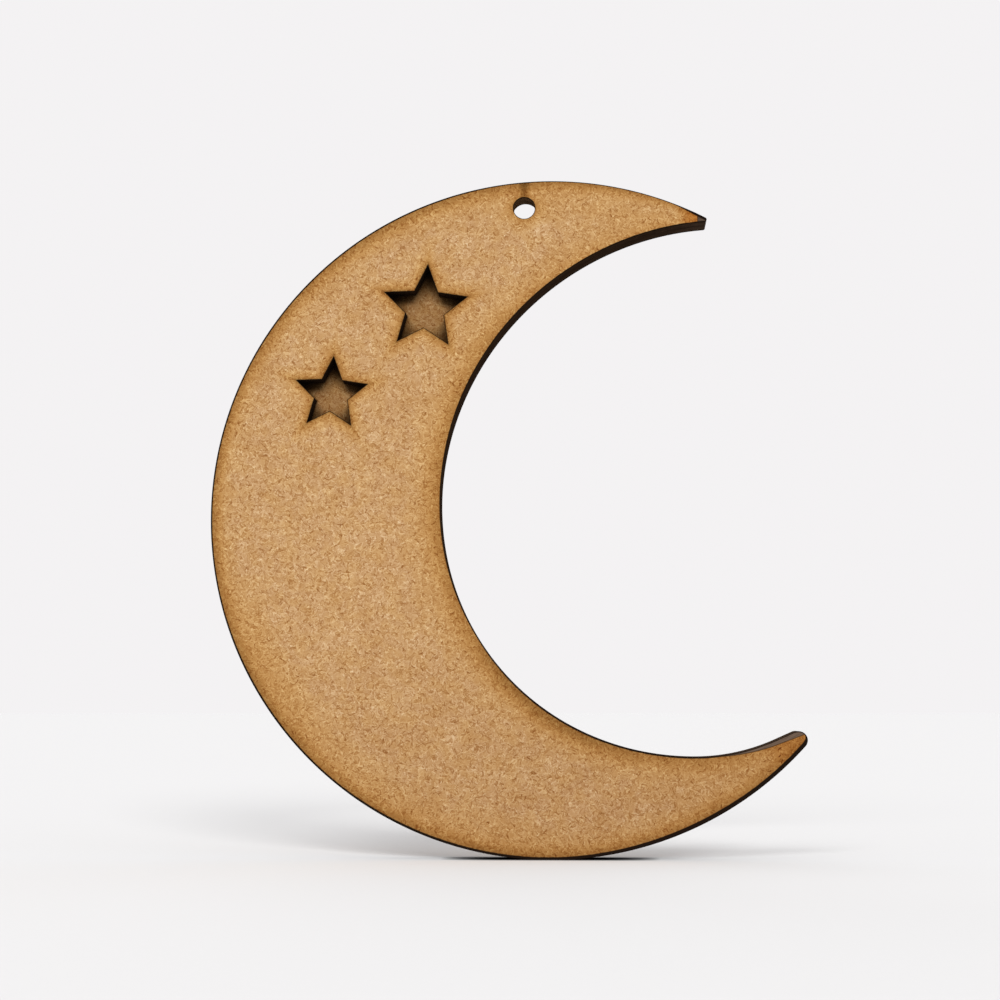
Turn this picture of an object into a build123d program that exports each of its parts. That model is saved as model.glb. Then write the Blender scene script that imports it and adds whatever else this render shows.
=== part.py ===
from build123d import *
import math
import os

# Hanging crescent cut by laser from two sheets of fibreboard. The front sheet has two star
# windows, the plain back sheet closes them, and a film of wood glue joins the two sheets.
# Millimetres and degrees. X runs to the right, Y from the front face to the back, Z up.
# The part stands on its rim, with the origin on the ground under the middle of its box.

# Sheets and glue
sheet_thickness = 3.0
glue_thickness = 0.1
glue_setback = 0.4

# Outline: a disc with an oval bay cut out of its right side. The oval's long axis is turned up from X.
# The bands are the board left between the oval and the rim, the lower one along the long axis and the
# upper one along the short axis. Across from them the oval runs past the rim by the overruns. Right of
# its lowest point the bay leaves the oval, turns up in a tighter arc and runs straight out past the rim.
disc_radius = 50.0
bay_turn = 42.0
lower_band = 29.6
upper_band = 24.2
upper_overrun = 11.2
lower_overrun = 1.0
bay_end_radius = 28.9
bay_end_turn = 24.0
upper_tip_radius = 0.3
lower_tip_radius = 1.3

# Star windows, each placed by its bearing from X about the disc's centre and its distance from the
# rim. The large star keeps its place across the upper band.
star_points = 5
star_waist_share = 0.46
star_lean = 3.8
large_star_radius = 6.4
large_star_inset_share = 0.575
large_star_bearing = 120.6
small_star_radius = 5.5
small_star_inset = 12.9
small_star_bearing = 150.5

# Hanging hole, wider in the back sheet so that the two sheets need not line up exactly
hole_radius = 1.6
hole_slack = 0.4
hole_inset = 3.9
hole_bearing = 94.5

# Size and place of the oval, from the bands and overruns on either side of it, and the large star's place
bay_long_radius = disc_radius - (lower_band - upper_overrun) / 2
bay_short_radius = disc_radius - (upper_band - lower_overrun) / 2
bay_along = (lower_band + upper_overrun) / 2
bay_across = (upper_band + lower_overrun) / 2
large_star_inset = upper_band * large_star_inset_share

# Places of the layers, from the front face to the back face
front_face = -(sheet_thickness + glue_thickness / 2)
glue_front = front_face + sheet_thickness
glue_back = glue_front + glue_thickness
back_face = glue_back + sheet_thickness


def layer(profile, front, back):
    """Solid from a flat profile, drawn as seen from the front, between two places along Y."""
    return extrude(Plane.XZ.offset(-back) * profile, amount=back - front)


def bay(setback):
    """Bay between the horns, going on out past the rim, its edges moved outwards by the setback."""
    turn = math.radians(bay_turn)
    long_radius = bay_long_radius + setback
    short_radius = bay_short_radius + setback
    end_radius = bay_end_radius + setback
    middle = Vector(bay_along, -bay_across).rotate(Axis.Z, bay_turn)
    rise = long_radius * math.sin(turn)
    run = short_radius * math.cos(turn)
    lowest_angle = 180 + math.degrees(math.atan2(run, rise))
    oval = EllipticalCenterArc(
        middle, long_radius, short_radius, 0, arc_size=lowest_angle, rotation=bay_turn
    )
    lowest = oval @ 1
    end = CenterArc(lowest + Vector(0, end_radius), end_radius, -90, bay_end_turn)
    way_out = PolarLine(end @ 1, disc_radius, bay_end_turn)
    return make_face([oval, end, way_out, Line(way_out @ 1, oval @ 0)])


def tip_edges(solid):
    """Edges square to the faces at the two horn tips, the farthest from the middle, lower horn first."""
    corners = solid.edges().filter_by(Axis.Y).sort_by_distance(Vector(0, 0, 0))
    return corners[-2:].sort_by(Axis.Z)


def crescent(setback, front, back):
    """Crescent between two places along Y, every edge drawn in by the setback, with round horn tips."""
    solid = layer(Circle(disc_radius - setback) - bay(setback), front, back)
    solid = fillet(tip_edges(solid)[0], lower_tip_radius)
    return fillet(tip_edges(solid)[1], upper_tip_radius)


def place(inset, bearing):
    """Right and up from the disc's centre of a place at this distance inside the rim."""
    reach = disc_radius - inset
    return reach * math.cos(math.radians(bearing)), reach * math.sin(math.radians(bearing))


def star(radius, inset, bearing):
    """Five-pointed star, its first point up and leaning to the right."""
    right, up = place(inset, bearing)
    corners = []
    for corner in range(2 * star_points):
        reach = radius if corner % 2 == 0 else radius * star_waist_share
        angle = math.radians(90 - star_lean + corner * 180 / star_points)
        corners.append((right + reach * math.cos(angle), up + reach * math.sin(angle)))
    return Polygon(*corners, align=None)


def stars(setback):
    """Both star shapes, their edges moved outwards by the setback."""
    half_point = math.pi / star_points
    flank_share = math.sqrt(1 + star_waist_share**2 - 2 * star_waist_share * math.cos(half_point))
    edge_share = star_waist_share * math.sin(half_point) / flank_share
    growth = setback / edge_share
    large_star = star(large_star_radius + growth, large_star_inset, large_star_bearing)
    small_star = star(small_star_radius + growth, small_star_inset, small_star_bearing)
    return large_star + small_star


def hole(radius):
    """Round hole for the hanging cord."""
    return Pos(*place(hole_inset, hole_bearing)) * Circle(radius)


def front_layer():
    """Front sheet with its star windows and the hanging hole."""
    sheet = crescent(0, front_face, glue_front)
    return sheet - layer(stars(0) + hole(hole_radius), front_face, glue_front)


def glue_film():
    """Dried glue between the sheets, wiped back from the rim, the windows and the hole."""
    film = crescent(glue_setback, glue_front, glue_back)
    openings = stars(glue_setback) + hole(hole_radius + hole_slack + glue_setback)
    return film - layer(openings, glue_front, glue_back)


def back_layer():
    """Back sheet, whole behind the stars, with the wider end of the hanging hole."""
    sheet = crescent(0, glue_back, back_face)
    return sheet - layer(hole(hole_radius + hole_slack), glue_back, back_face)


pieces = {
    "front_layer": front_layer(),
    "glue_film": glue_film(),
    "back_layer": back_layer(),
}

# The disc's centre goes one radius above the ground, and the box's middle over the origin
stand = Pos(-pieces["front_layer"].bounding_box().center().X, 0, disc_radius)

os.makedirs("parts", exist_ok=True)
for name, solid in pieces.items():
    placed = stand * solid
    placed.label = name
    export_step(placed, f"parts/{name}.step")
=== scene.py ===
"""Hanging crescent of laser-cut fibreboard: two glued sheets, the front one with two star windows.

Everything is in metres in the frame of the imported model: X to the right, Y from the front face to the
back face, Z up, the ground at zero. The materials work in millimetres from the middle of the disc.
"""
import math
from collections import namedtuple
from functools import partialmethod

import bpy
import numpy as np
from bpy.props import FloatProperty, FloatVectorProperty, IntProperty, PointerProperty
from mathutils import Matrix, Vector, noise
from mathutils.geometry import delaunay_2d_cdt


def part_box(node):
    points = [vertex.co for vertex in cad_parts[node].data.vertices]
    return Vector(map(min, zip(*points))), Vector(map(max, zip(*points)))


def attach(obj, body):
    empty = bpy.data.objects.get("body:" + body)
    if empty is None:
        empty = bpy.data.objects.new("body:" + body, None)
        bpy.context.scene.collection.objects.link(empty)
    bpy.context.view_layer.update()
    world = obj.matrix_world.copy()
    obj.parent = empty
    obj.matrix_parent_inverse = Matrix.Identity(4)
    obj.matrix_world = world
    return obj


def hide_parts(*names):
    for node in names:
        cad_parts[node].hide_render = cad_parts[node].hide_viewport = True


bl_info = {
    "name": "Laser-cut Crescent",
    "version": (1, 0, 0),
    "blender": (4, 5, 0),
    "location": "3D View > Sidebar > Crescent",
    "description": "Two-sheet fibreboard crescent with star windows, on a pale studio floor",
    "category": "Add Mesh",
}

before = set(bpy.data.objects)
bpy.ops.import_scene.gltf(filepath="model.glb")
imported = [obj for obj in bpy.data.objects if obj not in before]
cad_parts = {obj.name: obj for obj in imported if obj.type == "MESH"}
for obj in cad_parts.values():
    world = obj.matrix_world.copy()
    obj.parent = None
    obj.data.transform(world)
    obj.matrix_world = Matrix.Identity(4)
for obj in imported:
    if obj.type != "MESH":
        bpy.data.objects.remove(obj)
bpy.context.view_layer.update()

MM = 0.001
FRONT_LOW, FRONT_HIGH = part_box("front_layer")
BACK_LOW, BACK_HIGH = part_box("back_layer")

# Points: how much closer on small shapes, degrees round an arris, count down a wall, spread in a face
TIP_FINENESS, HOLE_FINENESS, STAR_FINENESS = 4, 3, 1.5
ARRIS_TURNS = (0, 30, 60, 90)
WALL_POINTS = 10
FACE_SPREAD = 3.0 * MM

# Relief of the walls: widths of the ribs and hollows, and what their long way is scaled by
RIB_WIDTH, HOLLOW_WIDTH = 0.45 * MM, 0.5 * MM
RIB_STRETCH, HOLLOW_STRETCH = 0.15, 0.12

# Stains, tints and painted shade: what each takes away of red, green and blue, and the powers that
# scorch is raised to
SCORCH_STAIN, SCORCH_POWERS = (0.25, 0.43, 0.89), (1.33, 1.0, 0.71)
BROWN_STAIN = (0.20, 0.49, 1.0)
LOWER_RIGHT_TINT = (0.53, 0.67, 0.80)
FIBRE_STAIN = (0.43, 0.68, 1.0)
# These two carry the painted shade on the floors of the star recesses
RECESS_SHADE_DENSITIES = (1.0, 1.04, 1.12)
RECESS_SHADE_WARMTH = (0.0, 0.25, 0.65)

# Scorch against the distance from a cut, as a share of its reach
SCORCH_FADING = ((0.0, 1.0), (0.084, 0.85), (0.16, 0.70), (0.26, 0.5), (0.33, 0.37), (0.41, 0.21),
                 (0.51, 0.11), (0.65, 0.055), (0.82, 0.02), (1.0, 0.0))

# Charred lines, growth of a star's distance past its points, and mean reach of the board
HOLE_LINE, STAR_LINE = 0.07, 0.075
PAST_POINT = 0.12
MEAN_REACH = 40.0

# Fibres: length, width and lightness of each scatter, winding lines, and shift of the back pattern
FIBRE_SCATTERS = ((1.0, 0.9, 0.5), (0.8, 0.8, -0.65), (0.65, 0.75, -0.55))
WINDING_SIZES = (0.62, 0.8, 0.7)
BACK_PATTERN = 150.0

# Stage: floor; name, way, spread and strength of each softbox; camera. Turns are in degrees
FLOOR_HALF, FLOOR_POINTS = 60.0, 9
SOFTBOXES = (("left_softbox", (0.20, 0.84, -0.50), 26.0, 1.967),
             ("right_softbox", (-0.19, 0.91, -0.37), 16.0, 1.99),
             ("back_softbox", (0.397, -0.852, -0.342), 48.0, 0.78))
CAMERA_PLACE = (0.013962, -0.32441, 0.021242)
CAMERA_TILT, CAMERA_TURN = 95.519, 2.645
CAMERA_LENS = 79.15
NEAREST_SEEN, FARTHEST_SEEN = 0.01, 200.0

# Place in millimetres
Spot = namedtuple("Spot", "flat right up depth")


def length(name, text, millimetres):
    """Length setting, given in millimetres and kept in metres."""
    return FloatProperty(
        name=name, description=text, default=millimetres * MM, unit="LENGTH", precision=5
    )


def angle(name, text, degrees):
    """Angle setting, given in degrees."""
    return FloatProperty(name=name, description=text, default=math.radians(degrees), unit="ROTATION")


def colour(name, text, *linear):
    """Colour setting, given as linear red, green and blue."""
    return FloatVectorProperty(
        name=name, description=text, default=linear, subtype="COLOR", size=3, min=0.0, max=1.0
    )


class CrescentSizes(bpy.types.PropertyGroup):
    """Outline, windows and hole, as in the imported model."""

    disc_radius: length("Disc radius", "Radius of the round outer rim", 50.0)
    bay_long: length("Bay long radius", "Half of the oval bay's long axis", 40.8)
    bay_short: length("Bay short radius", "Half of the oval bay's short axis", 38.4)
    bay_turn: angle("Bay turn", "Turn of the bay's long axis up from level", 42.0)
    bay_along: length("Bay along", "Bay's middle from the disc's middle, along its long axis", 20.4)
    bay_across: length("Bay across", "Bay's middle from the disc's middle, across its long axis", 12.6)
    bay_end: length("Bay end radius", "Tighter arc of the bay, right of its lowest point", 28.9)
    bay_end_turn: angle("Bay end turn", "Turn of the tighter arc before the straight edge", 24.0)
    upper_tip: length("Upper tip radius", "Rounding of the upper horn's tip", 0.3)
    lower_tip: length("Lower tip radius", "Rounding of the lower horn's tip", 1.3)
    star_points: IntProperty(name="Star points", description="Points of each star", default=5, min=3)
    star_waist: FloatProperty(
        name="Star waist", description="Inner radius of a star over its outer radius",
        default=0.46, subtype="FACTOR", min=0.0, max=1.0
    )
    star_lean: angle("Star lean", "Lean of the stars' first points to the right", 3.8)
    large_star: length("Large star radius", "From the large star's middle to its points", 6.4)
    large_star_reach: length("Large star reach", "Large star's middle from the disc's middle", 36.085)
    large_star_bearing: angle("Large star bearing", "Bearing of the large star about the disc", 120.6)
    small_star: length("Small star radius", "From the small star's middle to its points", 5.5)
    small_star_reach: length("Small star reach", "Small star's middle from the disc's middle", 37.1)
    small_star_bearing: angle("Small star bearing", "Bearing of the small star about the disc", 150.5)
    front_hole: length("Front hole radius", "Radius of the hanging hole in the front sheet", 1.6)
    back_hole: length("Back hole radius", "Radius of the hanging hole in the back sheet", 2.0)
    hole_reach: length("Hole reach", "Hanging hole from the disc's middle", 46.1)
    hole_bearing: angle("Hole bearing", "Bearing of the hanging hole about the disc", 94.5)
    arris: length("Arris", "Width of the arris along an outer face; at the glue it is half", 0.04)
    relief: length("Cut relief", "Depth of the waviness of the cut walls", 0.03)
    spacing: length("Point spacing", "Distance between the points along each cut", 0.3)


class CrescentFinish(bpy.types.PropertyGroup):
    """Colours of board, burns and studio, and the size of the scorch and fibres."""

    board: colour("Board", "Bare fibreboard", 0.317, 0.193, 0.0925)
    char: colour("Char", "Burnt edge of the faces", 0.006, 0.003, 0.0015)
    ash: colour("Ash", "Grey-brown burnt ends of the horns", 0.090, 0.060, 0.042)
    wall: colour("Cut wall", "Burnt fibres on the cut walls", 0.026, 0.015, 0.009)
    glue: colour("Dried glue", "Film between the sheets", 0.10, 0.055, 0.02)
    # Painted light: the hole's wall gets this far lighter colour to stand in for light falling into it
    hole_wall_light: colour("Hole wall", "Sooty wall of the hanging hole", 0.16, 0.095, 0.05)
    paper: colour("Studio paper", "Floor under the crescent", 0.590, 0.590, 0.590)
    backdrop: colour("Backdrop", "Even light of the studio", 0.903, 0.888, 0.896)
    scorch_reach: length("Scorch reach", "Distance from a cut at which its scorch has faded out", 4.4)
    fibre_length: length("Fibre length", "Length of the curled fibres in the faces", 0.8)
    fibre_width: length("Fibre width", "Width of the curled fibres in the faces", 0.14)


def disc_middle(sizes):
    """Right and up of the disc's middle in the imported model's frame."""
    return FRONT_HIGH.x - rim_line(sizes)[0][:, 0].max(), FRONT_LOW.z + sizes.disc_radius


def place(reach, bearing):
    """Right and up from the disc's middle."""
    return reach * math.cos(bearing), reach * math.sin(bearing)


def hole_middle(sizes):
    """Middle of the hanging hole from the disc's middle."""
    return place(sizes.hole_reach, sizes.hole_bearing)


def star_windows(sizes):
    """Radius and middle of each star window."""
    return ((sizes.large_star, place(sizes.large_star_reach, sizes.large_star_bearing)),
            (sizes.small_star, place(sizes.small_star_reach, sizes.small_star_bearing)))


def bay_middle(sizes):
    """Middle of the oval bay from the disc's middle."""
    turn = complex(math.cos(sizes.bay_turn), math.sin(sizes.bay_turn))
    middle = complex(sizes.bay_along, -sizes.bay_across) * turn
    return np.array([middle.real, middle.imag])


def bay_edge(sizes, turns):
    """Points of the bay's edge at these turns round it, and their directions into the board."""
    cosine, sine = math.cos(sizes.bay_turn), math.sin(sizes.bay_turn)
    axes = np.array([[cosine, sine], [-sine, cosine]])
    turns = np.atleast_1d(turns)
    round_about = np.stack([np.cos(turns), np.sin(turns)], axis=1)
    into = round_about / [sizes.bay_long, sizes.bay_short]
    into /= np.linalg.norm(into, axis=1, keepdims=True)
    return bay_middle(sizes) + round_about * [sizes.bay_long, sizes.bay_short] @ axes, into @ axes


def bay_bottom(sizes):
    """Turn round the oval at its lowest point, and the middle of the tighter arc from there."""
    rise = sizes.bay_long * math.sin(sizes.bay_turn)
    run = sizes.bay_short * math.cos(sizes.bay_turn)
    turn = math.pi + math.atan2(run, rise)
    return turn, bay_edge(sizes, turn)[0][0] + [0.0, sizes.bay_end]


def upper_horn(sizes):
    """Turn round the oval at which the upper horn's round tip leaves it, and the middle of the tip."""
    outside, within = 0.0, math.pi / 2
    halvings = 60
    for _ in range(halvings):
        turn = (outside + within) / 2
        edge, into = bay_edge(sizes, turn)
        middle = (edge + into * sizes.upper_tip)[0]
        if np.hypot(*middle) > sizes.disc_radius - sizes.upper_tip:
            outside = turn
        else:
            within = turn
    return turn, middle


def upper_end(sizes):
    """Farthest right of the upper tip from the disc's middle, in millimetres."""
    return (upper_horn(sizes)[1][0] + sizes.upper_tip) / MM


def lower_horn(sizes):
    """Straight edge up to the lower tip: its start, way, direction into the board, and length."""
    way = np.array([math.cos(sizes.bay_end_turn), math.sin(sizes.bay_end_turn)])
    into = np.array([way[1], -way[0]])
    start = bay_bottom(sizes)[1] + into * sizes.bay_end
    beside = start + into * sizes.lower_tip
    ahead = beside @ way
    room = (sizes.disc_radius - sizes.lower_tip) ** 2 - beside @ beside
    return start, way, into, math.sqrt(ahead ** 2 + room) - ahead


def lower_tip_middle(sizes):
    """Middle of the lower horn's round tip, from the disc's middle."""
    start, way, into, run = lower_horn(sizes)
    return start + into * sizes.lower_tip + way * run


def arc(middle, radius, start, end, spacing):
    """Points on an arc and the directions from its middle, without the arc's last point."""
    fewest = 4
    count = max(fewest, round(abs(end - start) * radius / spacing))
    turns = start + (end - start) * np.arange(count) / count
    out = np.stack([np.cos(turns), np.sin(turns)], axis=1)
    return middle + out * radius, out


def rim_line(sizes):
    """Outline as points and directions into the board, anticlockwise seen from the front, no corners."""
    upper_turn, upper_middle = upper_horn(sizes)
    start, way, straight_into, run = lower_horn(sizes)
    lower_middle = lower_tip_middle(sizes)
    upper = math.atan2(upper_middle[1], upper_middle[0])
    lower = math.atan2(lower_middle[1], lower_middle[0]) + 2 * math.pi
    rim, rim_out = arc(np.zeros(2), sizes.disc_radius, upper, lower, sizes.spacing)

    tip_spacing = sizes.spacing / TIP_FINENESS
    lower_end = math.atan2(-straight_into[1], -straight_into[0]) + 2 * math.pi
    lower_tip, lower_out = arc(lower_middle, sizes.lower_tip, lower, lower_end, tip_spacing)
    count = round(run / sizes.spacing)
    straight = start + np.outer(run * (1 - np.arange(count) / count), way)

    bottom_turn, end_middle = bay_bottom(sizes)
    end_start = sizes.bay_end_turn - math.pi / 2
    end, end_into = arc(end_middle, sizes.bay_end, end_start, -math.pi / 2, sizes.spacing)
    count = round((bottom_turn - upper_turn) * sizes.bay_long / sizes.spacing)
    turns = bottom_turn + (upper_turn - bottom_turn) * np.arange(count) / count
    bay, bay_into = bay_edge(sizes, turns)

    upper_into = bay_edge(sizes, upper_turn)[1][0]
    upper_start = math.atan2(-upper_into[1], -upper_into[0])
    upper_tip, upper_out = arc(upper_middle, sizes.upper_tip, upper_start, upper, tip_spacing)
    points = np.concatenate([rim, lower_tip, straight, end, bay, upper_tip])
    along_straight = np.tile(straight_into, (len(straight), 1))
    into = np.concatenate([-rim_out, -lower_out, along_straight, end_into, bay_into, -upper_out])
    return points, into, np.zeros(len(points), bool)


def hole_line(sizes, radius):
    """Outline of the hanging hole, clockwise."""
    points, out = arc(hole_middle(sizes), radius, 0.0, -2 * math.pi, sizes.spacing / HOLE_FINENESS)
    return points, out, np.zeros(len(points), bool)


def star_line(sizes, radius, middle):
    """Outline of a star window, clockwise, with its corners marked."""
    numbers = np.arange(2 * sizes.star_points)
    turns = math.pi / 2 - sizes.star_lean - numbers * math.pi / sizes.star_points
    reaches = np.where(numbers % 2, radius * sizes.star_waist, radius)
    corners = middle + np.stack([np.cos(turns), np.sin(turns)], axis=1) * reaches[:, None]
    edges = np.roll(corners, -1, axis=0) - corners
    out = np.stack([-edges[:, 1], edges[:, 0]], axis=1) / np.linalg.norm(edges, axis=1, keepdims=True)
    before = np.roll(out, 1, axis=0)
    mitres = (out + before) / (1 + (out * before).sum(axis=1, keepdims=True))
    count = round(np.linalg.norm(edges[0]) / sizes.spacing * STAR_FINENESS)
    points, into, corner = [], [], []
    for start, edge, straight, mitre in zip(corners, edges, out, mitres):
        points += [start + edge * step / count for step in range(count)]
        into += [mitre] + [straight] * (count - 1)
        corner += [True] + [False] * (count - 1)
    return np.array(points), np.array(into), np.array(corner)


def section(thickness, front_arris, back_arris):
    """Depths from the sheet's front face, insets from the cut, and each depth's share of the relief.

    Only the front arris is rounded. The back one is square, and its depths mark a strip along it.
    """
    turns = np.radians(ARRIS_TURNS)
    wall = np.linspace(front_arris, thickness - back_arris, WALL_POINTS)[1:-1]
    front_depths = front_arris * (1 - np.cos(turns))
    back_depths = thickness - back_arris * (1 - np.cos(turns[::-1]))
    depths = np.concatenate([front_depths, wall, back_depths])
    insets = np.zeros(len(depths))
    insets[:len(turns)] = front_arris * (1 - np.sin(turns))
    down_wall = (depths - front_arris) / (thickness - front_arris - back_arris)
    return depths, insets, np.sin(np.pi * np.clip(down_wall, 0, 1)) ** 0.5


def cut_relief(right, depth, up):
    """How far the beam has eaten into the wall here, from nothing to one: fine ribs and long hollows."""
    ribs = noise.noise(Vector((right, depth * RIB_STRETCH, up)) / RIB_WIDTH)
    stretched = Vector((right * HOLLOW_STRETCH, depth, up * HOLLOW_STRETCH)) / HOLLOW_WIDTH
    hollows = noise.noise(stretched + Vector((7.0, 3.0, 1.0)))
    return min(1.0, max(0.4, 0.5 + 0.45 * ribs + 0.5 * hollows))


def inside(points, line):
    """Whether each point is inside a closed line."""
    right, up = points[:, :1], points[:, 1:]
    start, end = line, np.roll(line, -1, axis=0)
    crosses = (start[:, 1] > up) != (end[:, 1] > up)
    rise = np.where(end[:, 1] == start[:, 1], 1.0, end[:, 1] - start[:, 1])
    at = start[:, 0] + (up - start[:, 1]) * (end[:, 0] - start[:, 0]) / rise
    return (crosses & (right < at)).sum(axis=1) % 2 == 1


def inside_board(points, lines):
    """Whether each point is inside the first of the closed lines and outside the others."""
    held = inside(points, lines[0])
    for line in lines[1:]:
        held &= ~inside(points, line)
    return held


def face_points(lines):
    """Points in staggered rows over the board, clear of its lines."""
    row_share, clear_share = 0.87, 0.45
    low, high = lines[0].min(axis=0), lines[0].max(axis=0)
    columns = np.arange(low[0], high[0], FACE_SPREAD)
    rows = np.arange(low[1], high[1], FACE_SPREAD * row_share)
    grid = [(x + (row % 2) * FACE_SPREAD / 2, y) for row, y in enumerate(rows) for x in columns]
    grid = np.array(grid)
    grid = grid[inside_board(grid, lines)]
    edges = np.concatenate(lines)
    near = np.array([np.hypot(*(edges - point).T).min() for point in grid])
    return grid[near > FACE_SPREAD * clear_share]


def face_triangles(lines):
    """Points and triangles of a flat face between closed lines, the first one the outline."""
    points = np.concatenate([*lines, face_points(lines)])
    edges, start = [], 0
    for line in lines:
        edges += [(start + step, start + (step + 1) % len(line)) for step in range(len(line))]
        start += len(line)
    scaled = [Vector(point) for point in points / MM]
    result = delaunay_2d_cdt(scaled, edges, [], 1, 1e-6)
    if len(result[0]) != len(points):
        raise RuntimeError("two points of a face fell together")
    back = [origin[0] for origin in result[3]]
    triangles = np.array([[back[corner] for corner in face] for face in result[2]])
    triangles = triangles[inside_board(points[triangles].mean(axis=1), lines)]
    first, second, third = (points[triangles[:, corner]] for corner in range(3))
    one_side, other_side = second - first, third - first
    area = one_side[:, 0] * other_side[:, 1] - one_side[:, 1] * other_side[:, 0]
    triangles[area < 0] = triangles[area < 0][:, ::-1]
    return points, triangles


def add_object(name, data):
    """New object in the scene."""
    thing = bpy.data.objects.new(name, data)
    bpy.context.scene.collection.objects.link(thing)
    return thing


def cut_sheet(name, sizes, lines, front, back, outer_in_front, materials):
    """Sheet of board between two depths, cut along its lines, with the beam's relief on its walls.

    The first material is for the flat faces and the outer arris, the second one for the burnt walls.
    """
    middle = disc_middle(sizes)
    arrises = (sizes.arris, sizes.arris / 2)
    front_arris, back_arris = arrises if outer_in_front else arrises[::-1]
    depths, insets, ridge = section(back - front, front_arris, back_arris)
    sections, strips = len(depths), len(depths) - 1
    arris_strips = len(ARRIS_TURNS) - 1
    outer_arris = range(arris_strips) if outer_in_front else range(strips - arris_strips, strips)

    vertices, faces, kinds, rings, corners = [], [], [], [], set()
    for points, into, corner in lines:
        start, count = len(vertices), len(points)
        rings.append((start, count))
        for step in range(count):
            for level in range(sections):
                right, up = points[step]
                relief = cut_relief(right, front + depths[level], up) * ridge[level] * sizes.relief
                right, up = points[step] + into[step] * (insets[level] + relief)
                vertices.append((middle[0] + right, front + depths[level], middle[1] + up))
        for step in range(count):
            column = start + step * sections
            next_column = start + (step + 1) % count * sections
            for level in range(strips):
                here, there = column + level, next_column + level
                faces.append((here, here + 1, there + 1, there))
                kinds.append(0 if level in outer_arris else 1)
            if corner[step]:
                corners.update((column + level, column + level + 1) for level in range(strips))

    walls = len(faces)
    for inset, depth, level, order in ((front_arris, front, 0, 1), (back_arris, back, strips, -1)):
        points, triangles = face_triangles([points + into * inset for points, into, _ in lines])
        ring = [start + step * sections + level for start, count in rings for step in range(count)]
        inner = range(len(vertices), len(vertices) + len(points) - len(ring))
        index = [*ring, *inner]
        vertices += [(middle[0] + right, depth, middle[1] + up) for right, up in points[len(ring):]]
        faces += [tuple(index[corner] for corner in triangle[::order]) for triangle in triangles]
        kinds += [0] * len(triangles)

    mesh = bpy.data.meshes.new(name)
    mesh.from_pydata(vertices, [], faces)
    for material in materials:
        mesh.materials.append(material)
    mesh.polygons.foreach_set("material_index", kinds)
    mesh.polygons.foreach_set("use_smooth", [number < walls for number in range(len(faces))])
    for edge in mesh.edges:
        if tuple(sorted(edge.vertices)) in corners:
            edge.use_edge_sharp = True
    if mesh.validate():
        raise RuntimeError(f"{name} has faces that don't hold")
    return add_object(name, mesh)


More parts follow.
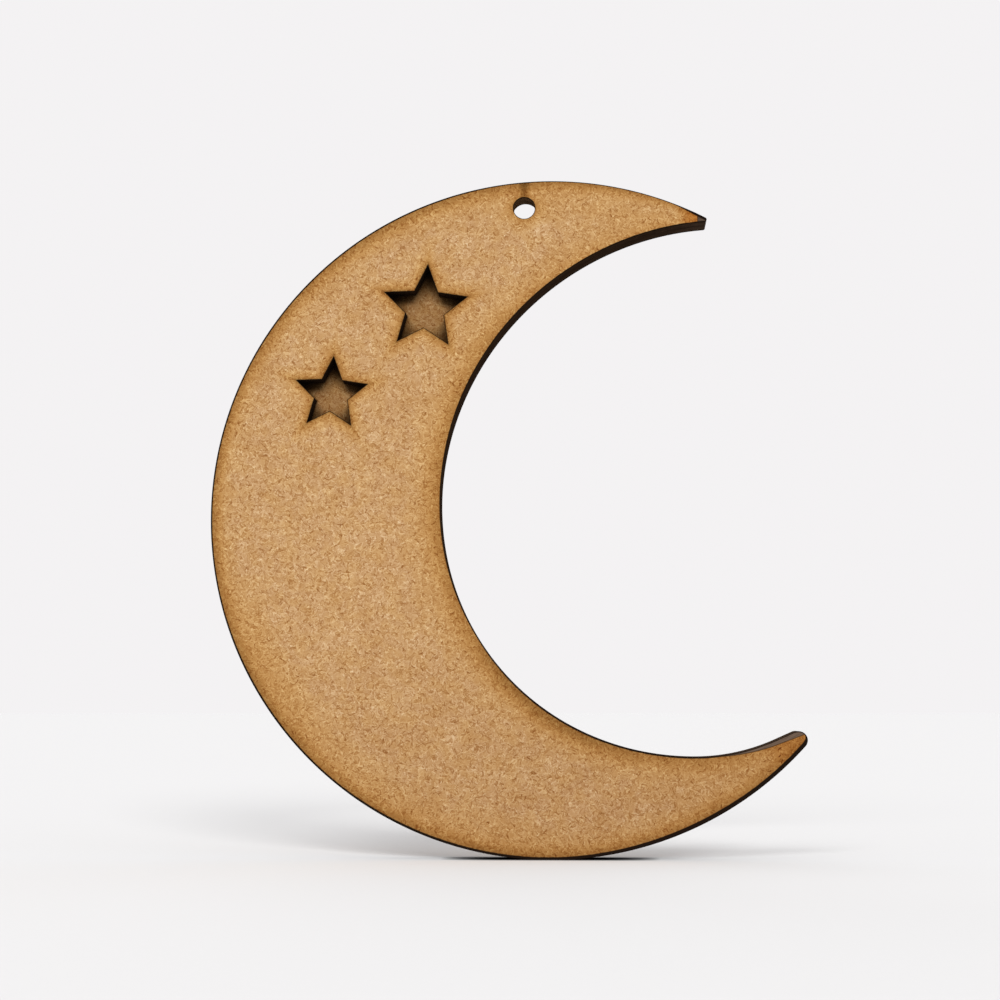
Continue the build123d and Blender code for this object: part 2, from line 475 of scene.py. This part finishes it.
class Wiring:
    """Adds nodes to a tree and joins them up, so that a material reads like a recipe."""

    def __init__(self, tree):
        self.tree = tree

    def add(self, kind, inputs=(), **settings):
        """Node of this kind, its settings made, and its inputs, by name or number, joined or set."""
        node = self.tree.nodes.new(kind)
        for name, value in settings.items():
            setattr(node, name, value)
        for name, value in dict(inputs).items():
            self.join(node.inputs[name], value)
        return node

    def join(self, socket, value):
        """Joins a socket to another one, or sets its value."""
        if isinstance(value, bpy.types.NodeSocket):
            self.tree.links.new(value, socket)
        else:
            socket.default_value = value

    def sum(self, operation, *values):
        """One step of arithmetic on numbers."""
        return self.add("ShaderNodeMath", dict(enumerate(values)), operation=operation).outputs[0]

    def carry(self, operation, result, *values):
        """One operation carried on from number to number."""
        for value in values:
            result = self.sum(operation, result, value)
        return result

    plus = partialmethod(carry, "ADD")
    minus = partialmethod(carry, "SUBTRACT")
    times = partialmethod(carry, "MULTIPLY")
    least = partialmethod(carry, "MINIMUM")
    times_plus = partialmethod(sum, "MULTIPLY_ADD")

    def arrow(self, operation, *values, scale=None):
        """One step of arithmetic on arrows, giving an arrow, or a number for a length or product."""
        inputs = dict(enumerate(values))
        if scale is not None:
            inputs["Scale"] = scale
        node = self.add("ShaderNodeVectorMath", inputs, operation=operation)
        number = operation in ("LENGTH", "DISTANCE", "DOT_PRODUCT")
        return node.outputs["Value" if number else "Vector"]

    def split(self, arrow):
        """The three parts of an arrow."""
        return tuple(self.add("ShaderNodeSeparateXYZ", {0: arrow}).outputs)

    def bundle(self, *parts):
        """Arrow of up to three parts."""
        return self.add("ShaderNodeCombineXYZ", dict(enumerate(parts))).outputs[0]

    def turned(self, arrow, turn):
        """Arrow turned in the plane of its first two parts."""
        inputs = {"Vector": arrow, "Angle": turn}
        return self.add("ShaderNodeVectorRotate", inputs, rotation_type="Z_AXIS").outputs[0]

    def choose(self, second_one, first, second):
        """First number, or the second one where asked for."""
        inputs = {0: second_one, 2: first, 3: second}
        return self.add("ShaderNodeMix", inputs, data_type="FLOAT").outputs[0]

    def line(self, value, start, end, low=0.0, high=1.0, shape="LINEAR"):
        """Step of a number from low at the start to high at the end, straight or of another shape."""
        inputs = {"Value": value, "From Min": start, "From Max": end, "To Min": low, "To Max": high}
        return self.add("ShaderNodeMapRange", inputs, interpolation_type=shape).outputs["Result"]

    def fade(self, value, start, end, low=0.0, high=1.0):
        """Smooth step of a number from low at the start to high at the end."""
        return self.line(value, start, end, low, high, "SMOOTHSTEP")

    def clouds(self, where, size, detail, roughness=0.5):
        """Soft noise from nothing to one, with patches of this size."""
        inputs = {"Vector": where, "Scale": 1 / size, "Detail": detail, "Roughness": roughness}
        return self.add("ShaderNodeTexNoise", inputs).outputs["Fac"]

    def uneven(self, where, size, detail, roughness):
        """Soft noise about nothing, with patches of this size."""
        return self.minus(self.clouds(where, size, detail, roughness), 0.5)

    def curve(self, value, stops):
        """Number that follows stops, each a place and a height between nothing and one."""
        node = self.add("ShaderNodeValToRGB", {"Fac": value})
        ramp = node.color_ramp
        while len(ramp.elements) < len(stops):
            ramp.elements.new(0.5)
        for element, (spot, height) in zip(ramp.elements, stops):
            element.position = spot
            element.color = (height, height, height, 1.0)
        return node.outputs["Color"]

    def mix(self, amount, first, second, way="MIX"):
        """Mix of two colours."""
        inputs = {0: amount, 6: rgba(first), 7: rgba(second)}
        return self.add("ShaderNodeMix", inputs, data_type="RGBA", blend_type=way).outputs[2]

    def stained(self, under, amount, densities, powers=(1.0, 1.0, 1.0)):
        """Colour under a stain: each density works on the amount raised to its power."""
        through = [self.sum("EXPONENT", self.times(self.sum("POWER", amount, power), -density))
                   for density, power in zip(densities, powers)]
        through = self.add("ShaderNodeCombineColor", dict(enumerate(through))).outputs[0]
        return self.mix(1.0, under, through, "MULTIPLY")

    def cover(self, shade, roughness, bump=None, specular=0.5):
        """Surface of this colour; a bump is a strength, a tallness in millimetres and a height."""
        inputs = {"Base Color": shade, "Roughness": roughness, "Specular IOR Level": specular}
        if bump:
            strength, tallness, height = bump
            bumps = {"Strength": strength, "Distance": tallness * MM, "Height": height}
            inputs["Normal"] = self.add("ShaderNodeBump", bumps).outputs[0]
        shader = self.add("ShaderNodeBsdfPrincipled", inputs)
        self.add("ShaderNodeOutputMaterial", {"Surface": shader.outputs[0]})


def rgba(value):
    """Colour as four numbers; a socket stays as it is."""
    return value if isinstance(value, bpy.types.NodeSocket) else (*value, 1.0)


def make_material(name):
    """Empty node material, and the wiring to fill it."""
    material = bpy.data.materials.new(name)
    material.use_nodes = True
    material.node_tree.nodes.clear()
    return material, Wiring(material.node_tree)


def fibre_tree():
    """Node group with one scatter of short curled fibres over a flat face."""
    if "curled_fibres" in bpy.data.node_groups:
        return bpy.data.node_groups["curled_fibres"]
    tree = bpy.data.node_groups.new("curled_fibres", "ShaderNodeTree")
    for name in ("Place", "Cell", "Length", "Width", "Curl", "Shift"):
        kind = "NodeSocketVector" if name in ("Place", "Shift") else "NodeSocketFloat"
        tree.interface.new_socket(name, in_out="INPUT", socket_type=kind)
    for name in ("Fibre", "Chance"):
        tree.interface.new_socket(name, in_out="OUTPUT", socket_type="NodeSocketFloat")
    w = Wiring(tree)
    given = w.add("NodeGroupInput").outputs
    where = w.arrow("ADD", given["Place"], given["Shift"])
    cell = {"Vector": where, "Scale": w.sum("DIVIDE", 1.0, given["Cell"])}
    cells = w.add("ShaderNodeTexVoronoi", cell, voronoi_dimensions="2D").outputs
    chance = w.add("ShaderNodeSeparateColor", {"Color": cells["Color"]}).outputs
    from_cell = w.arrow("SUBTRACT", where, cells["Position"])
    along, across, _ = w.split(w.turned(from_cell, w.times(chance[0], math.tau)))
    bend = w.times(w.minus(chance[1], 0.5), given["Curl"])
    side = w.sum("ABSOLUTE", w.minus(across, w.times(bend, w.times(along, along))))
    half = w.times(given["Length"], w.times_plus(chance[2], 0.3, 0.25))
    body = w.fade(side, w.times(given["Width"], 0.75), w.times(given["Width"], 0.15))
    ends = w.fade(w.sum("ABSOLUTE", along), half, w.times(half, 0.6))
    out = w.add("NodeGroupOutput")
    w.join(out.inputs["Fibre"], w.times(body, ends))
    w.join(out.inputs["Chance"], w.sum("FRACT", w.times(w.plus(chance[0], chance[2]), 7.3)))
    return tree


def scatter(w, where, shift, longest, widest, curl):
    """One scatter of curled fibres, and the chance value of each."""
    inputs = {"Place": where, "Cell": longest * 0.85, "Length": longest, "Width": widest,
              "Curl": curl, "Shift": shift}
    group = w.add("ShaderNodeGroup", inputs, node_tree=fibre_tree())
    return group.outputs["Fibre"], group.outputs["Chance"]


def fibres(w, flat, finish):
    """Lightness of the fibres about nothing, and the dark dashes among them from nothing to one."""
    wander = 0.9
    drift = w.add("ShaderNodeTexNoise", {"Vector": flat, "Scale": 0.9, "Detail": 1.0}).outputs["Color"]
    aside = w.arrow("SCALE", w.arrow("SUBTRACT", drift, (0.5, 0.5, 0.5)), scale=wander)
    bent = w.arrow("ADD", flat, aside)
    longest, widest = finish.fibre_length / MM, finish.fibre_width / MM
    total = None
    for number, (size, width, strength) in enumerate(FIBRE_SCATTERS):
        shift = (number * 17.3, number * 9.1, 0.0)
        lit, chance = scatter(w, bent, shift, longest * size, widest * width, 2.4 / size)
        lit = w.times(lit, w.line(chance, 0.0, 1.0, 0.25 * strength, 1.15 * strength))
        total = lit if total is None else w.plus(total, lit)

    # Level lines of soft noise wind about: a light one with a dark one beside it, broken up
    for number, size in enumerate(WINDING_SIZES):
        winding = w.clouds(w.arrow("ADD", bent, (31.0 * number, 47.0, 0.0)), size, 1.0)
        broken = w.clouds(w.arrow("ADD", bent, (83.0, 29.0 * number, 0.0)), 1.1, 1.0)
        lit, dark = (w.fade(w.sum("ABSOLUTE", w.minus(winding, level)), 0.07, 0.01)
                     for level in (0.5, 0.41))
        lines = w.times(w.times_plus(dark, -1.5, lit), w.fade(broken, 0.38, 0.52))
        total = w.times_plus(lines, 0.92, total)
    total = w.times_plus(w.uneven(bent, 0.2, 2.0, 0.6), 2.2, total)
    dash, chance = scatter(w, flat, (5.0, 61.0, 0.0), 0.95, 0.17, 2.0)
    return total, w.times(dash, w.fade(chance, 0.78, 0.94))


def board_place(w, sizes):
    """Place on the board in millimetres: right and up as an arrow and as numbers, and the depth."""
    middle = disc_middle(sizes)
    right, depth, up = w.split(w.add("ShaderNodeTexCoord").outputs["Object"])
    right = w.times(w.minus(right, middle[0]), 1 / MM)
    up = w.times(w.minus(up, middle[1]), 1 / MM)
    return Spot(w.bundle(right, up), right, up, w.times(depth, 1 / MM))


def from_place(w, flat, middle):
    """Arrow on the face from a place, in millimetres."""
    return w.arrow("SUBTRACT", flat, (middle[0] / MM, middle[1] / MM, 0.0))


def bay_distance(w, flat, sizes):
    """Distance into the board from the oval, or by the lower horn from the arc and straight."""
    turned = w.turned(from_place(w, flat, bay_middle(sizes)), -sizes.bay_turn)
    radii = (sizes.bay_long / MM, sizes.bay_short / MM, 1.0)
    part = w.arrow("DIVIDE", turned, radii)
    size = w.arrow("LENGTH", part)
    slope = w.sum("DIVIDE", w.arrow("LENGTH", w.arrow("DIVIDE", part, radii)), size)
    oval = w.sum("DIVIDE", w.minus(size, 1.0), slope)
    from_end = from_place(w, flat, bay_bottom(sizes)[1])
    _, way, into, _ = lower_horn(sizes)
    on_straight = w.sum("GREATER_THAN", w.arrow("DOT_PRODUCT", from_end, (*way, 0.0)), 0.0)
    beside = w.arrow("DOT_PRODUCT", from_end, (*into, 0.0))
    reach = w.choose(on_straight, w.arrow("LENGTH", from_end), beside)
    right, up, _ = w.split(from_end)
    near_horn = w.times(w.sum("GREATER_THAN", right, 0.0), w.sum("LESS_THAN", up, 0.0))
    return w.choose(near_horn, oval, w.minus(reach, sizes.bay_end / MM))


def star_distance(w, flat, sizes, radius, middle):
    """Distance outwards from a star's edges, in millimetres, from one edge folded onto the others."""
    right, up, _ = w.split(from_place(w, flat, middle))
    step = 2 * math.pi / sizes.star_points
    turn = w.minus(w.sum("ARCTAN2", up, right), math.pi / 2 - sizes.star_lean)
    folded = w.sum("PINGPONG", turn, step / 2)
    size = w.sum("SQRT", w.plus(w.times(right, right), w.times(up, up)))
    waist = complex(math.cos(step / 2), math.sin(step / 2)) * sizes.star_waist - 1.0
    out = complex(waist.imag, -waist.real) / abs(waist)
    along = w.times(size, w.sum("COSINE", folded))
    aside = w.times(size, w.sum("SINE", folded))
    straight = w.times_plus(along, out.real, w.times(aside, out.imag))
    beyond = w.sum("MAXIMUM", w.minus(along, radius / MM), 0.0)
    return w.times_plus(beyond, PAST_POINT, w.minus(straight, radius / MM * out.real))


def tip_burn(w, sizes, at):
    """Distance from the charred line round the lower tip, widest on its outer side, and from the tip."""
    tip_room, far_off = 3.0, 9.0
    middle = lower_tip_middle(sizes)
    _, way, into, _ = lower_horn(sizes)
    onward = np.array([-middle[1], middle[0]]) / np.linalg.norm(middle)
    from_tip = from_place(w, at.flat, middle)
    reach = w.arrow("LENGTH", from_tip)
    past_rim = w.arrow("DOT_PRODUCT", from_tip, (*onward, 0.0))
    past_bay = w.arrow("DOT_PRODUCT", from_tip, (*way, 0.0))
    ahead = w.times(w.sum("GREATER_THAN", w.least(past_rim, past_bay), 0.0),
                    w.sum("LESS_THAN", reach, tip_room))
    inner_side = w.sum("DIVIDE", w.arrow("DOT_PRODUCT", from_tip, (*-into, 0.0)), reach)
    line = w.fade(inner_side, -0.9, 0.4, 0.58, 0.12)
    return w.choose(ahead, far_off, w.minus(sizes.lower_tip / MM, w.plus(reach, line))), reach


def rim_burn(w, sizes, at):
    """Distance from the rim, the width of its charred line, and the distance that its scorch follows.

    The line is widest at the lower right. The scorch narrows along the upper horn.
    """
    rim = w.minus(sizes.disc_radius / MM, w.arrow("LENGTH", at.flat))
    low = w.fade(at.up, 5.0, -25.0)
    lower_right = w.times(w.fade(at.right, -5.0, 28.0), low)
    bottom = w.fade(at.up, -38.0, -48.0, 0.0, 0.1)
    end = upper_end(sizes)
    high = w.sum("GREATER_THAN", at.up, 0.0)
    upper_tip = w.times(w.fade(at.right, end - 5.0, end - 1.2, 0.0, 0.25), high)
    line = w.sum("MAXIMUM", w.times(low, 0.155), w.fade(at.right, 5.0, -22.0, 0.0, 0.1))
    line = w.plus(line, w.times_plus(lower_right, 0.33, 0.105), bottom, upper_tip)

    fading = w.times(w.fade(at.up, 14.0, 32.0), w.line(at.right, -10.0, 28.0, -0.1, 1.05))
    side = w.times(w.fade(at.right, -25.0, -42.0), w.fade(at.up, -15.0, 12.0))
    pace = w.times_plus(side, 0.12, w.plus(w.times_plus(lower_right, -0.25, 1.08), fading))
    begin = w.times_plus(side, 0.06, w.times(fading, 0.4))
    return rim, line, w.times_plus(rim, pace, begin)


def bay_burn(w, sizes, at):
    """Distance from the bay, the width of its charred line, and the distance that its scorch follows."""
    bay = bay_distance(w, at.flat, sizes)
    line = w.plus(w.fade(at.up, -10.0, -32.0, -0.1, 0.2), w.fade(at.up, 0.0, 18.0, 0.0, 0.17))
    by_lip = w.times(w.fade(at.right, 20.0, 32.0, 0.0, -0.12), w.fade(at.up, 0.0, -10.0))
    deeper = w.fade(w.arrow("DISTANCE", at.flat, (1.0, -28.0, 0.0)), 19.0, 5.0)
    lighter = w.fade(at.up, 26.0, 38.0, 0.66, 1.32)
    pace = w.times_plus(deeper, 0.4, 0.6)
    follow = w.times_plus(bay, pace, w.times_plus(deeper, -1.2, lighter))
    return bay, w.plus(line, by_lip), follow


def painted_recess_shade(w, sizes, at, recesses, front):
    """Painted shade in the stars' recesses: thin all over, deeper upwards under the upper edges, in the
    points and along the edges.
    """
    recess_shade = 0.0
    lifted = w.arrow("ADD", at.flat, (0.0, 1.7, 0.0))
    for radius, middle in recesses:
        tall = radius / MM
        from_middle = from_place(w, at.flat, middle)
        reached = w.times(w.arrow("LENGTH", from_middle), 1 / tall)
        upwards = w.line(w.split(from_middle)[1], tall * 0.2, tall * 0.69, 0.40, 1.35)
        under_edge = w.fade(star_distance(w, lifted, sizes, radius, middle), 0.0, 1.5)
        along_edge = w.fade(star_distance(w, at.flat, sizes, radius, middle), -0.25, 0.0, 0.0, 0.5)
        in_points = w.fade(reached, 0.36, 0.9, 0.0, 1.5)
        amount = w.plus(upwards, under_edge, along_edge, in_points)
        recess_shade = w.times_plus(amount, w.fade(reached, 1.4, 1.25), recess_shade)
    return w.times(recess_shade, w.sum("LESS_THAN", at.depth, front + 0.5))


def board_haze(w, at, rim):
    """Haze of scorch at the lower left, on the left and by the hole, and its fading from the rim."""
    lower_left = w.times(w.fade(at.up, -5.0, -22.0, 0.0, 0.14), w.fade(at.right, 10.0, -10.0))
    left = w.fade(w.arrow("DISTANCE", at.flat, (-42.0, -24.0, 0.0)), 16.0, 6.0, 0.0, 0.16)
    top = w.fade(w.arrow("DISTANCE", at.flat, (4.0, 46.0, 0.0)), 16.0, 6.0, 0.0, 0.14)
    return w.plus(lower_left, left, top), w.fade(rim, 7.5, 3.0)


def burnt_ends(w, sizes, finish, at, bay, high):
    """Depth inside the lower horn's lip or the upper tip's cap, and their grey-brown colour."""
    lip = w.minus(w.line(at.right, 22.0, 38.0, -0.05, 0.95), bay)
    cap = w.minus(at.right, upper_end(sizes) - 1.35)
    right, up, _ = w.split(at.flat)
    round_about = w.times(w.sum("ARCTAN2", up, right), MEAN_REACH)
    along_cut = w.arrow("MULTIPLY", w.bundle(round_about, bay), (0.12, 1.0, 1.0))
    streaks = w.clouds(along_cut, 0.22, 2.0, 0.6)
    # Ash streaks; the lower lip, standing for a wall that faces up, takes more of the ash colour than
    # the upper cap: partly painted light
    ash_and_light = w.line(streaks, 0.25, 0.6, w.choose(high, 0.55, 0.2), w.choose(high, 1.0, 0.6))
    return w.choose(high, lip, cap), w.mix(ash_and_light, finish.char, finish.ash)


def board_face(name, sizes, finish, shift, hole_radius, windows=(), recesses=(), front=0.0):
    """Face of a fibreboard sheet: curled fibres, amber scorch beside every cut, and charred lines; on
    the back sheet, painted shade in the star recesses.
    """
    material, w = make_material(name)
    at = board_place(w, sizes)
    moved = w.arrow("ADD", at.flat, (shift, shift * 0.7, shift * 1.3))
    rim, rim_width, rim_follow = rim_burn(w, sizes, at)
    bay, bay_width, bay_follow = bay_burn(w, sizes, at)
    tip_line, from_tip = tip_burn(w, sizes, at)
    hole = w.minus(w.arrow("LENGTH", from_place(w, at.flat, hole_middle(sizes))), hole_radius / MM)

    # Distance from the nearest charred line, and the one that the scorch follows
    nearest = w.least(w.minus(rim, rim_width), w.minus(bay, bay_width),
                      w.minus(hole, HOLE_LINE), tip_line)
    follow = w.sum("SMOOTH_MIN", rim_follow, bay_follow, 0.3)
    follow = w.sum("SMOOTH_MIN", follow, w.times_plus(hole, 1.15, 0.95), 0.3)
    by_windows = 0.0
    for window in windows:
        star = star_distance(w, at.flat, sizes, *window)
        nearest = w.least(nearest, w.minus(star, STAR_LINE))
        follow = w.sum("SMOOTH_MIN", follow, w.times_plus(star, 1.5, 0.35), 0.2)
        by_windows = w.plus(by_windows, w.fade(star, 0.5, 0.1))
    ragged = w.uneven(moved, 0.6, 3.0, 0.6)
    char = w.fade(w.times_plus(ragged, 0.12, nearest), 0.08, -0.03)

    # Scorch by that distance, haze, and smoke from the hole up to the rim
    follow = w.times_plus(w.uneven(moved, 3.2, 2.0, 0.5), 0.9, follow)
    follow = w.times_plus(ragged, 0.4, follow)
    scorch = w.curve(w.sum("DIVIDE", follow, finish.scorch_reach / MM), SCORCH_FADING)
    stain = w.times_plus(scorch, 1.85, w.times(by_windows, 0.6))
    stain = w.plus(w.times_plus(w.uneven(moved, 2.2, 3.0, 0.5), 0.4, 0.02), stain)
    haze, by_rim = board_haze(w, at, rim)
    stain = w.times_plus(haze, by_rim, stain)
    beside_hole = w.sum("ABSOLUTE", w.minus(at.right, hole_middle(sizes)[0] / MM))
    smoke = w.times(w.fade(beside_hole, 1.1, 0.1), w.fade(at.up, 46.2, 48.6))
    stain = w.sum("MAXIMUM", w.times_plus(smoke, 1.6, stain), 0.0)

    # Browned ends, darkening and warming towards the lower right, and fibres
    end = upper_end(sizes)
    high = w.sum("GREATER_THAN", at.up, 0.0)
    browned = w.times(w.fade(at.right, end - 4.6, end - 1.9, 0.0, 1.15), high)
    browned = w.plus(browned, w.fade(from_tip, 6.5, 2.0, 0.0, 0.5))
    browned = w.times_plus(smoke, 0.3, browned)
    # The face grows darker and warmer towards the lower right
    drift = w.line(w.minus(w.times(at.right, 0.6), at.up), -6.0, 54.0, 0.0, 0.3)
    mottle = w.times(w.uneven(moved, 5.0, 3.0, 0.6), 0.6)
    light, dashes = fibres(w, moved, finish)
    dashes = w.times(dashes, w.fade(from_tip, 8.0, 3.0, 1.0, 2.2))
    tone = w.plus(dashes, w.plus(w.times_plus(light, -0.32, 0.175), mottle))
    shade = w.stained(finish.board, stain, SCORCH_STAIN, SCORCH_POWERS)
    for amount, densities in ((browned, BROWN_STAIN), (drift, LOWER_RIGHT_TINT), (tone, FIBRE_STAIN)):
        shade = w.stained(shade, amount, densities)
    # Painted shade in the star recesses, on the back sheet's front face
    if recesses:
        recess_shade = painted_recess_shade(w, sizes, at, recesses, front / MM)
        shade = w.stained(shade, recess_shade, RECESS_SHADE_DENSITIES)
        shade = w.stained(shade, w.least(recess_shade, 0.4), RECESS_SHADE_WARMTH)

    # Burnt ends of the horns, with a charred seam along them
    ends, burnt = burnt_ends(w, sizes, finish, at, bay, high)
    shade = w.mix(w.fade(ends, -0.02, 0.06), shade, burnt)
    seam = w.fade(w.sum("ABSOLUTE", ends), 0.12, 0.02)
    char = w.sum("MAXIMUM", char, w.times(seam, 0.7))
    shade = w.mix(char, shade, finish.char)
    height = w.minus(w.times(light, 0.5), dashes)
    w.cover(shade, 0.9, (0.35, 0.03, height), specular=0.04)
    return material


def cut_wall(name, sizes, finish, outer, glued):
    """Burnt wall of a sheet, darkest by its outer arris, with lines along the sheet and the beam.
    Painted light makes it lighter in the hanging hole and towards the right.
    """
    material, w = make_material(name)
    at = board_place(w, sizes)
    from_face = w.line(at.depth, outer / MM, glued / MM)
    where = w.bundle(at.right, at.depth, at.up)
    lines = w.clouds(w.arrow("MULTIPLY", where, (0.12, 1.0, 0.12)), 0.35, 2.0, 0.6)
    ribs = w.clouds(w.arrow("MULTIPLY", where, (1.0, 0.12, 1.0)), 0.4, 2.0, 0.6)
    worn = w.times(w.fade(from_face, 0.02, 0.22), w.fade(from_face, 1.0, 0.94, 0.5, 1.0),
                   w.line(lines, 0.3, 0.7, 0.45, 1.25), w.line(ribs, 0.3, 0.7, 0.8, 1.15),
                   w.line(w.clouds(where, 2.5, 2.0, 0.5), 0.3, 0.7, 0.75, 1.2))
    # Painted light: the wall of the hanging hole takes a far lighter colour
    hole = w.arrow("LENGTH", from_place(w, at.flat, hole_middle(sizes)))
    in_hole = w.sum("LESS_THAN", hole, sizes.back_hole / MM + 0.5)
    # Painted light: walls towards the right, where the lower horn's wall faces up, take some of the
    # lighter ash colour
    ash_and_light = w.mix(w.fade(at.right, 14.0, 25.0, 0.0, 0.3), finish.wall, finish.ash)
    shade = w.mix(worn, finish.char, w.mix(in_hole, ash_and_light, finish.hole_wall_light))
    w.cover(shade, 0.9, (0.5, 0.04, w.plus(lines, w.times(ribs, 0.6))), specular=0.0)
    return material


def dried_glue(finish):
    """Thin dried wood glue, cloudy amber, with painted shade in the char colour on its edges, which sit
    back between the sheets.
    """
    material, w = make_material("dried_wood_glue")
    where = w.arrow("SCALE", w.add("ShaderNodeTexCoord").outputs["Object"], scale=1 / MM)
    cloudy = w.clouds(where, 0.8, 3.0, 0.6)
    shade = w.mix(cloudy, finish.glue, [part * 0.5 for part in finish.glue])
    # Painted shade: the film's sideways edges take the char colour
    facing = w.split(w.add("ShaderNodeNewGeometry").outputs["Normal"])[1]
    cut = w.sum("LESS_THAN", w.sum("ABSOLUTE", facing), 0.5)
    w.cover(w.mix(cut, shade, finish.char), 0.35, (0.3, 0.02, cloudy))
    return material


def studio_paper(finish):
    """Matt paper with hardly any tooth. A painted contact shadow darkens its colour by ambient occlusion
    in the narrow gap under what stands on it.
    """
    material, w = make_material("studio_paper")
    where = w.arrow("SCALE", w.add("ShaderNodeTexCoord").outputs["Object"], scale=1 / MM)
    tooth = w.line(w.clouds(where, 1.2, 3.0, 0.6), 0.3, 0.7, 0.0, 0.02)
    shade = w.mix(tooth, finish.paper, (0.8, 0.8, 0.8))
    # Painted contact shadow: ambient occlusion darkens the paper's colour
    contact_openness = w.add("ShaderNodeAmbientOcclusion", {"Distance": 2.5 * MM}).outputs["AO"]
    shade = w.mix(w.sum("POWER", contact_openness, 1.5), (0.0, 0.0, 0.0), shade)
    w.cover(shade, 0.95, specular=0.0)
    return material


def lay_floor(finish):
    """Flat sheet of studio paper in squares."""
    count = FLOOR_POINTS
    mesh = bpy.data.meshes.new("studio_floor")
    steps = np.linspace(-FLOOR_HALF, FLOOR_HALF, count)
    vertices = [(right, deep, 0.0) for deep in steps for right in steps]
    corners = [row * count + column for row in range(count - 1) for column in range(count - 1)]
    faces = [(corner, corner + 1, corner + count + 1, corner + count) for corner in corners]
    mesh.from_pydata(vertices, [], faces)
    mesh.materials.append(studio_paper(finish))
    floor = add_object("studio_floor", mesh)


def light_room(scene, finish):
    """Even light of the studio, and the softboxes."""
    world = bpy.data.worlds.new("soft_room")
    world.use_nodes = True
    world.node_tree.nodes.clear()
    w = Wiring(world.node_tree)
    sky = w.add("ShaderNodeBackground", {"Color": rgba(finish.backdrop)})
    w.add("ShaderNodeOutputWorld", {"Surface": sky.outputs[0]})
    scene.world = world
    scene.view_settings.view_transform = "Standard"
    for name, way, spread, strength in SOFTBOXES:
        lamp = bpy.data.lights.new(name, "SUN")
        lamp.energy = strength
        lamp.angle = math.radians(spread)
        add_object(name, lamp).rotation_euler = Vector(way).to_track_quat("-Z", "Y").to_euler()


def place_camera(scene):
    """Camera at the photograph's angle."""
    seen = bpy.data.cameras.new("camera")
    seen.lens = CAMERA_LENS
    seen.clip_start, seen.clip_end = NEAREST_SEEN, FARTHEST_SEEN
    camera = add_object("camera", seen)
    camera.location = CAMERA_PLACE
    camera.rotation_euler = (math.radians(CAMERA_TILT), 0.0, math.radians(CAMERA_TURN))
    scene.camera = camera


class CRESCENT_OT_front_sheet(bpy.types.Operator):
    """Cut the front sheet, with its two star windows and the hanging hole"""

    bl_idname = "crescent.front_sheet"
    bl_label = "Front Sheet"

    def execute(self, context):
        sizes, finish = context.scene.crescent_sizes, context.scene.crescent_finish
        front, back = FRONT_LOW.y, FRONT_HIGH.y
        windows = star_windows(sizes)
        lines = [rim_line(sizes), hole_line(sizes, sizes.front_hole)]
        lines += [star_line(sizes, *window) for window in windows]
        face = board_face("front_face", sizes, finish, 0.0, sizes.front_hole, windows=windows)
        wall = cut_wall("front_cut_wall", sizes, finish, front, back)
        sheet = cut_sheet("front_sheet", sizes, lines, front, back, True, [face, wall])
        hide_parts("front_layer")
        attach(sheet, "root")
        return {"FINISHED"}


class CRESCENT_OT_back_sheet(bpy.types.Operator):
    """Cut the back sheet, whole behind the stars, with the wider end of the hanging hole"""

    bl_idname = "crescent.back_sheet"
    bl_label = "Back Sheet"

    def execute(self, context):
        sizes, finish = context.scene.crescent_sizes, context.scene.crescent_finish
        front, back = BACK_LOW.y, BACK_HIGH.y
        lines = [rim_line(sizes), hole_line(sizes, sizes.back_hole)]
        face = board_face("back_face", sizes, finish, BACK_PATTERN, sizes.back_hole,
                          recesses=star_windows(sizes), front=front)
        wall = cut_wall("back_cut_wall", sizes, finish, back, front)
        sheet = cut_sheet("back_sheet", sizes, lines, front, back, False, [face, wall])
        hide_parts("back_layer")
        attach(sheet, "root")
        return {"FINISHED"}


class CRESCENT_OT_glue_film(bpy.types.Operator):
    """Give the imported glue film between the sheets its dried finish"""

    bl_idname = "crescent.glue_film"
    bl_label = "Glue Film"

    def execute(self, context):
        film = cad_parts["glue_film"]
        film.data.materials.clear()
        film.data.materials.append(dried_glue(context.scene.crescent_finish))
        return {"FINISHED"}


class CRESCENT_OT_stage(bpy.types.Operator):
    """Lay the pale floor, hang the lights and place the camera"""

    bl_idname = "crescent.stage"
    bl_label = "Stage"

    def execute(self, context):
        finish = context.scene.crescent_finish
        lay_floor(finish)
        light_room(context.scene, finish)
        place_camera(context.scene)
        return {"FINISHED"}


class CRESCENT_PT_build(bpy.types.Panel):
    """Settings and build steps of the crescent"""

    bl_idname = "CRESCENT_PT_build"
    bl_label = "Crescent"
    bl_space_type = "VIEW_3D"
    bl_region_type = "UI"
    bl_category = "Crescent"

    def draw(self, context):
        for step in STEPS:
            self.layout.operator(step.bl_idname)
        for group in (context.scene.crescent_sizes, context.scene.crescent_finish):
            box = self.layout.box()
            for name in group.__annotations__:
                box.prop(group, name)


STEPS = (CRESCENT_OT_front_sheet, CRESCENT_OT_glue_film, CRESCENT_OT_back_sheet, CRESCENT_OT_stage)
CLASSES = (CrescentSizes, CrescentFinish, *STEPS, CRESCENT_PT_build)


def register():
    """Adds the classes, and the settings to the scene."""
    for kind in CLASSES:
        bpy.utils.register_class(kind)
    bpy.types.Scene.crescent_sizes = PointerProperty(type=CrescentSizes)
    bpy.types.Scene.crescent_finish = PointerProperty(type=CrescentFinish)


def unregister():
    """Takes the settings and the classes away again."""
    del bpy.types.Scene.crescent_finish
    del bpy.types.Scene.crescent_sizes
    for kind in reversed(CLASSES):
        bpy.utils.unregister_class(kind)


def main():
    """Builds the crescent and its stage."""
    register()
    bpy.ops.crescent.front_sheet()
    bpy.ops.crescent.glue_film()
    bpy.ops.crescent.back_sheet()
    bpy.ops.crescent.stage()
    bpy.context.view_layer.update()


if __name__ == "__main__":
    main()
